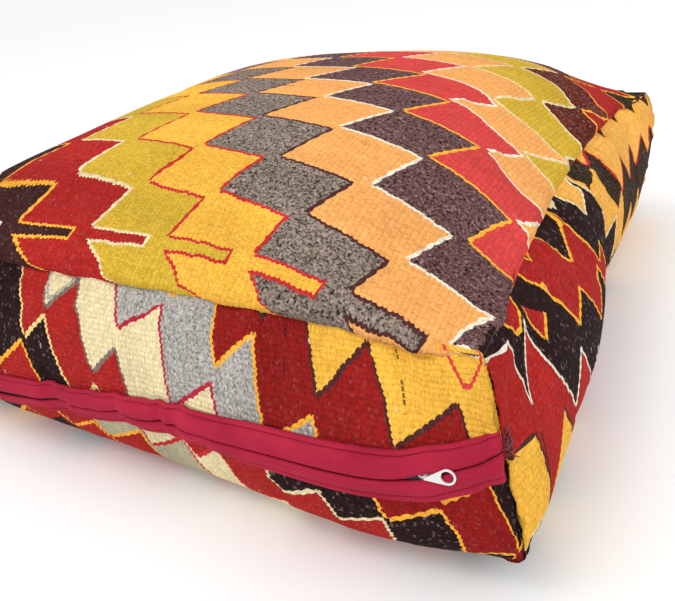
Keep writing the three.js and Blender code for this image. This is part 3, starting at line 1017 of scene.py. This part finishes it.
def wall_cover(name, wall, part, finish):
    """A wall's panel; part is 1 for the strip over the zip's mouth and -1 for the one under it."""
    rows = math.floor(WALL_TALL / RIB) * RIB_CUTS
    flat = cloth_grid(2 * CROWN_HALF, WALL_TALL, round(2 * CROWN_HALF / WEFT_STEP), rows)
    bmesh.ops.translate(flat, vec=(0, WALL_TALL / 2, 0), verts=flat.verts)
    if part:
        middles = np.array([face.calc_center_median() for face in flat.faces])
        mouth = np.interp(mouth_height(middles[:, 0] / CROWN_HALF), heights, wall_run)
        beyond = (middles[:, 1] - mouth) * part < 0
        hidden = [face for face, gone in zip(flat.faces, beyond) if gone]
        bmesh.ops.delete(flat, geom=hidden, context="FACES")

    def lay(along, up):
        return on_wall(wall, along / CROWN_HALF, 2 * up / WALL_TALL - 1)

    return ribbed_panel(name, flat, lay, 1, finish)


red_cloth = kilim("front_kilim", FRONT_WEAVE, 1)
lower_cloth = kilim("front_lower_kilim", LOWER_WEAVE, 1)
brown_cloth = kilim("side_kilim", SIDE_WEAVE, 1)
for name, wall, part, cloth, node, slot in (
    ("front_upper_cover", "front", 1, red_cloth, "front_upper_strip", "front_kilim"),
    ("front_lower_cover", "front", -1, lower_cloth, "front_lower_strip", "front_kilim"),
    ("right_side_cover", "right", 0, brown_cloth, "right_side_panel", "side_kilim"),
    ("back_side_cover", "back", 0, brown_cloth, "back_side_panel", "side_kilim"),
    ("left_side_cover", "left", 0, brown_cloth, "left_side_panel", "side_kilim"),
):
    cover = wall_cover(name, wall, part, cloth)
    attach(cover, "root")
    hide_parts(node)

# The bottom: a plain dark cloth, flat on the floor, which the walls are sewn to all round.
BOTTOM_WEAVE = {**SIDE_WEAVE, "bands": [("black_brown", "black_brown")], "teeth": []}
bottom_flat = cloth_grid(2 * FOOT_REACH, 2 * FOOT_REACH, 120, 120)


def lay_bottom(across, along):
    x, y = plan(-across / FOOT_REACH, along / FOOT_REACH, FOOT_REACH, FOOT_ROUND, 0, 0)
    return settled(np.stack([x, y, 0 * x + RIB_RAISED], axis=1))


base_cloth = kilim("bottom_cloth", BOTTOM_WEAVE, 1)
bottom_cover = ribbed_panel("bottom_cover", bottom_flat, lay_bottom, 1, base_cloth)
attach(bottom_cover, "root")
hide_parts("bottom_panel")

# The zip's tape and the way every strip of the zip is laid: off the front wall, by how far up
# from the mouth and how far out of the wall it lies. The tape is a thin woven strip.
ZIP_FROM, ZIP_TO = -0.985, 0.997  # ends of the zip, as shares of the front's half width
MOUTH_SHUT = 0.0007
MOUTH_OPEN = 0.0036  # half the gap between the flaps, at the closed end and at the left
TAPE_ROW, TAPE_CORD = 0.0011, 0.0007
TAPE_FUZZ = 900
TAPE_ROUGH = 0.6
# The tape's colours, mixed half by painted shade between its cords and painted light on them, half
# by random fibre tone.
TAPE_DARK_AND_SHADE, TAPE_PALE_AND_LIT = (0.10, 0.09, 0.13, 1), (0.36, 0.33, 0.44, 1)
CLOTH_RELIEF = 0.0003
TAPE_WIDE = 0.015
TAPE_THICK = 0.0009
TAPE_SHORT = 0.985  # of the flaps' length
TAPE_OUT = 0.0009
SLIDER_AT = 0.228
CLOSED_FROM, CLOSED_OVER = -0.85, 0.75  # where the mouth closes, in halves of the front
PARTED, PARTED_WIDE = 0.0012, 0.009  # what the slider adds
ZIP_COLUMNS = 260


def cloth_share(u):
    """The share of the cloth along a wall for a share of the wall's width."""
    return np.sign(u) * np.interp(np.abs(u), shares, crown_run) / CROWN_HALF


def off_wall(s, height, out):
    """A point off the stuffed front wall and the way out of the wall there."""
    step = 1e-4

    def wall(ds, dh):
        return wall_form(even(np.clip(s + ds, -1, 1)), 0 * s - 1, height + dh)

    way = np.cross(wall(step, 0) - wall(-step, 0), wall(0, step) - wall(0, -step))
    way /= np.linalg.norm(way, axis=1, keepdims=True)
    share = 2 * np.interp(height, heights, wall_run) / WALL_TALL - 1
    on_it = wall(0, 0) + between(SWELLS["front"], s, share)
    return on_it + way * np.reshape(out, (-1, 1)), way


def mouth_half(s):
    """Half the gap between the flaps, which also part at the slider."""
    u = even(s)
    closed = np.clip((u - CLOSED_FROM) / CLOSED_OVER, 0, 1)
    closed = closed * closed * (3 - 2 * closed)
    parted = PARTED * bell((u * FRONT_HALF - SLIDER_AT) / PARTED_WIDE)
    return mixed(MOUTH_OPEN, MOUTH_SHUT, closed) + parted


zip_ends = cloth_share(np.array([ZIP_FROM, ZIP_TO]))
ZIP_LONG = (zip_ends[1] - zip_ends[0]) * CROWN_HALF


def zip_strip(name, wide, rows, lay, thick, finish):
    """A strip of cloth along the zip, a flat grid laid by lay(s, around) and given its
    thickness."""
    flat = cloth_grid(ZIP_LONG, wide, ZIP_COLUMNS, rows)
    keep_chart(flat)
    places = np.array([v.co for v in flat.verts])
    s = mixed(*zip_ends, places[:, 0] / ZIP_LONG + 0.5)
    for vert, place in zip(flat.verts, lay(s, places[:, 1])):
        vert.co = place
    strip = object_from(flat, name, finish)
    layers = strip.modifiers.new("thickness", "SOLIDIFY")
    layers.thickness = thick
    layers.offset = 0
    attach(strip, "root")
    return strip


def tape_weave():
    finish, shader = new_finish("zip_tape", {"Roughness": TAPE_ROUGH})
    tree = finish.node_tree
    along, around, _ = Tone(tree).node("ShaderNodeUVMap", {"uv_map": "cloth"}).parts()
    row = (around / TAPE_ROW).floor()
    bead = (along / TAPE_CORD + row * 0.5).maths("FRACT").humped()
    fuzz = along.vector(along, around, 0).noise(TAPE_FUZZ, 3)
    # Half painted shade between the tape's cords and painted light on them, half random fibre
    # tone.
    colour = (bead * 0.5 + fuzz * 0.5).mix(TAPE_DARK_AND_SHADE, TAPE_PALE_AND_LIT)
    tree.links.new(colour.socket, shader.inputs["Base Color"])
    tree.links.new(bead.bump(CLOTH_RELIEF).socket, shader.inputs["Normal"])
    return finish


def lay_tape(s, around):
    s = s * TAPE_SHORT
    return off_wall(s, mouth_height(s) + around, 0 * s + TAPE_OUT)[0]


zip_tape = zip_strip("zip_tape_strip", TAPE_WIDE, 16, lay_tape, TAPE_THICK, tape_weave())
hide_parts("zip_tape")

# The zip's teeth: two rows of short nylon loops down the middle of the tape, one row's set
# between the other's. Each tooth is a small rounded bar.
TOOTH_PITCH = 0.0015
TOOTH_LONG = 0.0030
TOOTH_THICK = 0.0010
TOOTH_OUT = 0.0023
TOOTH_ASIDE = 0.0009
TOOTH_COLOUR = (0.42, 0.38, 0.48)
TOOTH_AIM = 0.001  # how far above and below its middle a tooth's direction is taken
NYLON_ROUGH = 0.3
NYLON_DARK = 0.55
NYLON_CLOUDS, NYLON_CLOUDY = 300, 0.7


def nylon(name, colour):
    """Smooth thread or nylon, darker in cloudy patches."""
    finish, shader = new_finish(name, {"Roughness": NYLON_ROUGH})
    tree = finish.node_tree
    spot = Tone(tree).node("ShaderNodeTexCoord", {}, {}, "Object")
    dark = [c * NYLON_DARK for c in colour]
    tint = (spot.noise(NYLON_CLOUDS, 2) * NYLON_CLOUDY).mix((*colour, 1), (*dark, 1))
    tree.links.new(tint.socket, shader.inputs["Base Color"])
    return finish


def rounded_bars(centres, ways, lengths, thick):
    """Small rounded bars in one bmesh, one for each centre, lying along ways."""
    shape = bmesh.new()
    bmesh.ops.create_uvsphere(shape, u_segments=6, v_segments=4, radius=0.5)
    number = shape.verts.layers.int.new("number")
    one = [v.co.copy() for v in shape.verts]
    for place, vert in enumerate(shape.verts):
        vert[number] = place
    while len(shape.verts) < len(one) * len(centres):
        bmesh.ops.duplicate(shape, geom=[*shape.verts, *shape.edges, *shape.faces])
    bars, seen = [], set()
    for vert in shape.verts:
        if vert in seen:
            continue
        bar, ends = {vert}, [vert]
        while ends:
            near = {e.other_vert(v) for v in ends for e in v.link_edges} - bar
            bar |= near
            ends = list(near)
        seen |= bar
        bars.append(bar)
    for bar, centre, way, length in zip(bars, centres, ways, lengths):
        turn = Vector(way).to_track_quat("Z", "Y").to_matrix().to_4x4()
        fit = Matrix.Translation(centre) @ turn @ Matrix.Diagonal((thick, thick, length, 1))
        for vert in bar:
            vert.co = fit @ one[vert[number]]
    spare = [vert for bar in bars[len(centres):] for vert in bar]
    bmesh.ops.delete(shape, geom=spare, context="VERTS")
    for face in shape.faces:
        face.smooth = True
    bmesh.ops.recalc_face_normals(shape, faces=shape.faces)
    return shape


tooth_s = np.arange(zip_ends[0], zip_ends[1], TOOTH_PITCH / 2 / CROWN_HALF)
sides = np.where(np.arange(len(tooth_s)) % 2, 1, -1)
tooth_up = mouth_height(tooth_s)
tooth_at, _ = off_wall(tooth_s, tooth_up + sides * TOOTH_ASIDE, 0 * tooth_s + TOOTH_OUT)
across = off_wall(tooth_s, tooth_up + TOOTH_AIM, 0 * tooth_s)[0]
across -= off_wall(tooth_s, tooth_up - TOOTH_AIM, 0 * tooth_s)[0]
teeth = rounded_bars(tooth_at, across, 0 * tooth_s + TOOTH_LONG, TOOTH_THICK)
zip_coil = object_from(teeth, "zip_coil", nylon("zip_teeth", TOOTH_COLOUR))
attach(zip_coil, "root")
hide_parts("zip_teeth")

# The zip's flaps: two strips of crimson twill, each folded double along the mouth and sewn
# to its kilim strip. The upper one has a piped edge, the lower one a stitched hem.
FLAP_THICK = 0.0009
UPPER_FOLD = [
    (0.0190, 0.0012), (0.0189, 0.0030), (0.0180, 0.0041), (0.0168, 0.0040), (0.0160, 0.0029),
    (0.0150, 0.0040), (0.0128, 0.0053), (0.0090, 0.0066), (0.0050, 0.0071), (0.0018, 0.0070),
    (0.0004, 0.0063), (0.0003, 0.0052), (0.0018, 0.0044), (0.0060, 0.0040), (0.0110, 0.0030),
    (0.0160, 0.0013),
]
LOWER_FOLD = [
    (0.0190, 0.0012), (0.0189, 0.0028), (0.0180, 0.0036), (0.0160, 0.0040), (0.0145, 0.0041),
    (0.0136, 0.0033), (0.0126, 0.0045), (0.0090, 0.0062), (0.0050, 0.0070), (0.0018, 0.0069),
    (0.0004, 0.0062), (0.0003, 0.0051), (0.0018, 0.0044), (0.0060, 0.0040), (0.0110, 0.0030),
    (0.0160, 0.0013),
]
TWILL_PITCH = 0.0015
TWILL_SLANT = 0.9
TWILL_DASH = 1.6
TWILL_FUZZ, TWILL_SLOW, TWILL_WORN = 1500, 28, 60  # features in a metre
# Painted shade in the twill's valleys and painted light on its ridges.
TWILL_GROOVE_SHADE, TWILL_RIDGE_LIGHT = 0.50, 0.95  # brightness
TWILL = {"Roughness": 0.75, "Specular IOR Level": 0.12}
TWILL_DARK, TWILL_PALE = (0.36, 0.010, 0.034, 1), (0.47, 0.020, 0.056, 1)
FLAP_SOFT = [(0.0004, 31, 1), (0.0002, 97, 2)]  # waves: how deep, how many, phase
FLAP_SOFT_AT, FLAP_SOFT_WIDE = 0.008, 0.006
FLAP_WAVE, FLAP_WAVES, FLAP_PHASE = 0.0004, 45, 1.3  # of its folded edge
FLAP_CLOSED = 0.010  # flattened this near to the corner
FLAP_TUCK = -0.2


def twill():
    finish, shader = new_finish("flap_twill", TWILL)
    tree = finish.node_tree
    along, around, _ = Tone(tree).node("ShaderNodeUVMap", {"uv_map": "cloth"}).parts()
    slant = (along + around * TWILL_SLANT) / TWILL_PITCH
    ridge = slant.maths("FRACT").humped()
    dash = (along * TWILL_DASH / TWILL_PITCH + slant.floor() * 0.5).maths("FRACT").humped()
    spot = along.vector(along, around, 0)
    fuzz = spot.noise(TWILL_FUZZ, 3)
    slow = spot.noise(TWILL_SLOW, 3)
    worn = along.vector(along, around * 6, 3).noise(TWILL_WORN, 3)
    # Painted shade between the twill's ridges and painted light on their dashes, with random fibre
    # tone.
    shade = TWILL_GROOVE_SHADE + ridge * dash * TWILL_RIDGE_LIGHT + (fuzz - 0.5) * 0.8
    shade = shade * (1 + (slow - 0.5) * 0.45) * (1 + (worn - 0.5) * 0.3)
    base = slow.mix(TWILL_DARK, TWILL_PALE)
    tree.links.new(base.tinted(shade).socket, shader.inputs["Base Color"])
    relief = ridge * 0.7 + dash * 0.3 + fuzz * 0.3
    tree.links.new(relief.bump(CLOTH_RELIEF).socket, shader.inputs["Normal"])
    return finish


crimson_twill = twill()


def flap_tall(u, side):
    """How tall a flap is, as a share of its fold; side is 1 for the upper and -1 for the lower."""
    return np.interp(u, MOUTH[:, 0], MOUTH[:, 2 if side > 0 else 3])


def zip_flap(name, side, fold, node):
    section = smooth_line(np.array(fold))
    girth = run_along(section)

    def lay(s, around):
        reach = around + girth[-1] / 2
        up = np.interp(reach, girth, section[:, 0])
        out = np.interp(reach, girth, section[:, 1])
        u = even(s) * FRONT_HALF
        soft = sum(deep * np.sin(u * many + phase * side) for deep, many, phase in FLAP_SOFT)
        full = bell((up - FLAP_SOFT_AT) / FLAP_SOFT_WIDE)
        fold_line = mouth_half(s) + FLAP_WAVE * np.sin(u * FLAP_WAVES + FLAP_PHASE * side)
        aside = side * (fold_line + up * flap_tall(u, side))
        end = np.clip((zip_ends[1] - s) * CROWN_HALF / FLAP_CLOSED, 0, 1)
        flattened = mixed(FLAP_TUCK, 1, np.sin(end * math.pi / 2))
        return off_wall(s, mouth_height(s) + aside, (out + soft * full) * flattened)[0]

    flap = zip_strip(name, girth[-1], 64, lay, FLAP_THICK, crimson_twill)
    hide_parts(node)


zip_flap("upper_flap", 1, UPPER_FOLD, "zip_flap_upper")
zip_flap("lower_flap", -1, LOWER_FOLD, "zip_flap_lower")

# The flaps' stitching: a row of crimson stitches in the groove along each sewn edge.
STITCH_PITCH = 0.0034
STITCH_LONG = 0.0025
STITCH_THICK = 0.0006
STITCH_ENDS = 0.01  # no stitches this near to the zip's ends
STITCH_AHEAD = 0.004
STITCH_COLOUR = (0.30, 0.012, 0.035)
stitch_at, stitch_way = [], []
for side, up, out in ((1, 0.0160, 0.0034), (-1, 0.0136, 0.0038)):
    s = np.arange(zip_ends[0] + STITCH_ENDS, zip_ends[1] - STITCH_ENDS, STITCH_PITCH / CROWN_HALF)
    aside = side * (mouth_half(s) + up * flap_tall(even(s) * FRONT_HALF, side))
    at = off_wall(s, mouth_height(s) + aside, 0 * s + out)[0]
    beyond = s + STITCH_AHEAD
    ahead = off_wall(beyond, mouth_height(beyond) + aside, 0 * s + out)[0]
    stitch_at.extend(at)
    stitch_way.extend(ahead - at)
stitches = rounded_bars(stitch_at, stitch_way, [STITCH_LONG] * len(stitch_at), STITCH_THICK)
flap_stitches = object_from(stitches, "flap_stitches", nylon("stitch_thread", STITCH_COLOUR))
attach(flap_stitches, "root")

# The seam's loose ends: a small tangle of brown yarn where the flaps meet the corner seam.
TANGLE_ALONG, TANGLE_UP = -0.249, 0.125
TANGLE_WIDE = 0.0050
TANGLE_TALL = 0.0060
TANGLE_SPREAD = 0.7
TANGLE_ENDS = 70
TANGLE_OUT = (0.0004, 0.0022)
TANGLE_LONG = (0.003, 0.007)
TANGLE_THICK = 0.0007
TANGLE_FLAT = (0.35, 1, 1)
TANGLE_EDGE = -0.995  # none beyond the corner seam
TANGLE_COLOUR = (0.20, 0.022, 0.030)
chance = np.random.default_rng(5)
tangle_along = TANGLE_ALONG + TANGLE_WIDE * chance.normal(size=TANGLE_ENDS) * TANGLE_SPREAD
tangle_up = TANGLE_UP + TANGLE_TALL * chance.normal(size=TANGLE_ENDS) * TANGLE_SPREAD
tangle_s = np.clip(tangle_along / CROWN_HALF, TANGLE_EDGE, 1)
tangle_at = on_wall("right", tangle_s, 2 * tangle_up / WALL_TALL - 1)
tangle_at[:, 0] += chance.uniform(*TANGLE_OUT, TANGLE_ENDS)
tangle_way = chance.normal(size=(TANGLE_ENDS, 3)) * TANGLE_FLAT
tangle_long = chance.uniform(*TANGLE_LONG, TANGLE_ENDS)
tangle = rounded_bars(tangle_at, tangle_way, tangle_long, TANGLE_THICK)
seam_tangle = object_from(tangle, "seam_tangle", nylon("tangle_thread", TANGLE_COLOUR))
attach(seam_tangle, "root")

# The slider: a cast plate that clasps both rows of teeth, with a wire bridge on its back that
# the pull hangs from. The pull is a drop of white metal with an eye in its round end.
SLIDER_LONG = 0.009
SLIDER_WIDE = 0.006
SLIDER_THICK = 0.0011
SLIDER_OUT = 0.0033
BRIDGE_RADIUS = 0.0026
BRIDGE_WIRE = 0.0006
BRIDGE_UP = SLIDER_THICK * 0.6
PULL_LONG = 0.018
PULL_RING = 0.0046
PULL_EYE = 0.0034
PULL_THICK = 0.0013
PULL_OUT = 0.0079
PULL_DROOP = -0.1
PULL_POINT = 0.0003
SHARP_TURN = 0.6
EDGE_SOFT = 0.0003
METAL_GRAIN = 700
METAL_SMOOTH, METAL_VARIES = 0.2, 0.3  # roughness
METALLIC = 0.35
METAL_PALE, METAL_DULL = (0.84, 0.83, 0.80, 1), (0.66, 0.65, 0.66, 1)


def white_metal():
    finish, shader = new_finish("zip_metal", {"Metallic": METALLIC})
    tree = finish.node_tree
    spot = Tone(tree).node("ShaderNodeTexCoord", {}, {}, "Object")
    worn = spot.noise(METAL_GRAIN, 4, 0.7)
    tint = worn.mix(METAL_PALE, METAL_DULL)
    tree.links.new(tint.socket, shader.inputs["Base Color"])
    rough = worn * METAL_VARIES + METAL_SMOOTH
    tree.links.new(rough.socket, shader.inputs["Roughness"])
    return finish


def seated(out, turn):
    """The place on the zip where the slider is, X along the zip and Z out of the wall."""
    s = cloth_share(np.array([SLIDER_AT / FRONT_HALF]))
    here, way = off_wall(s, mouth_height(s), np.array([out]))
    beside = off_wall(s + 0.02, mouth_height(s + 0.02), np.array([out]))[0]
    z_axis = Vector(way[0])
    x_axis = Vector(beside[0] - here[0])
    x_axis = (x_axis - z_axis * x_axis.dot(z_axis)).normalized()
    basis = Matrix((x_axis, z_axis.cross(x_axis), z_axis)).transposed().to_4x4()
    return Matrix.Translation(here[0]) @ basis @ Matrix.Rotation(turn, 4, "Z")


def thickened(shape, thick):
    """Gives a flat plate its thickness and rounds its sharp edges."""
    raised = bmesh.ops.extrude_face_region(shape, geom=shape.faces[:])
    bmesh.ops.translate(shape, vec=(0, 0, thick), verts=new_verts(raised))
    bmesh.ops.recalc_face_normals(shape, faces=shape.faces)
    sharp = [e for e in shape.edges if e.is_manifold and e.calc_face_angle() > SHARP_TURN]
    bmesh.ops.bevel(
        shape, geom=sharp, offset=EDGE_SOFT, segments=3, profile=0.5, affect="EDGES", material=-1
    )


def hard_piece(name, shape, out, turn, node):
    for face in shape.faces:
        face.smooth = True
    bmesh.ops.recalc_face_normals(shape, faces=shape.faces)
    bmesh.ops.transform(shape, matrix=seated(out, turn), verts=shape.verts)
    piece = object_from(shape, name, cast_metal)
    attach(piece, "root")
    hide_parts(node)


cast_metal = white_metal()
slider = bmesh.new()
bmesh.ops.create_circle(slider, cap_ends=True, segments=32, radius=0.5)
bmesh.ops.scale(slider, vec=(SLIDER_LONG, SLIDER_WIDE, 1), verts=slider.verts)
thickened(slider, SLIDER_THICK)
wire = bmesh.ops.create_circle(slider, cap_ends=True, segments=12, radius=BRIDGE_WIRE)["verts"]
bmesh.ops.translate(slider, vec=(BRIDGE_RADIUS, 0, BRIDGE_UP), verts=wire)
loop = list({g for v in wire for g in (*v.link_edges, *v.link_faces)} | set(wire))
bmesh.ops.spin(
    slider, geom=loop, cent=(0, 0, BRIDGE_UP), axis=(0, -1, 0), angle=math.pi, steps=14
)
hard_piece("zip_slider_body", slider, SLIDER_OUT, 0, "zip_slider")

pull = bmesh.new()
reach = PULL_LONG - PULL_RING
lean = math.acos(PULL_RING / reach)
rim = bmesh.ops.create_circle(pull, segments=72, radius=PULL_RING)["verts"]
tangent = Vector((-math.cos(lean), math.sin(lean), 0)) * PULL_RING
for vert in rim:
    turn = math.atan2(abs(vert.co.y), -vert.co.x)
    if turn < lean:
        side = 1 if vert.co.y > 0 else -1
        vert.co = tangent.lerp(Vector((-reach, PULL_POINT, 0)), 1 - turn / lean)
        vert.co.y *= side
bmesh.ops.create_circle(pull, segments=72, radius=PULL_EYE)["verts"]
bmesh.ops.bridge_loops(pull, edges=pull.edges[:])
thickened(pull, PULL_THICK)
bmesh.ops.translate(pull, vec=(reach, 0, 0), verts=pull.verts)
hard_piece("zip_pull_drop", pull, PULL_OUT, PULL_DROOP, "zip_pull")
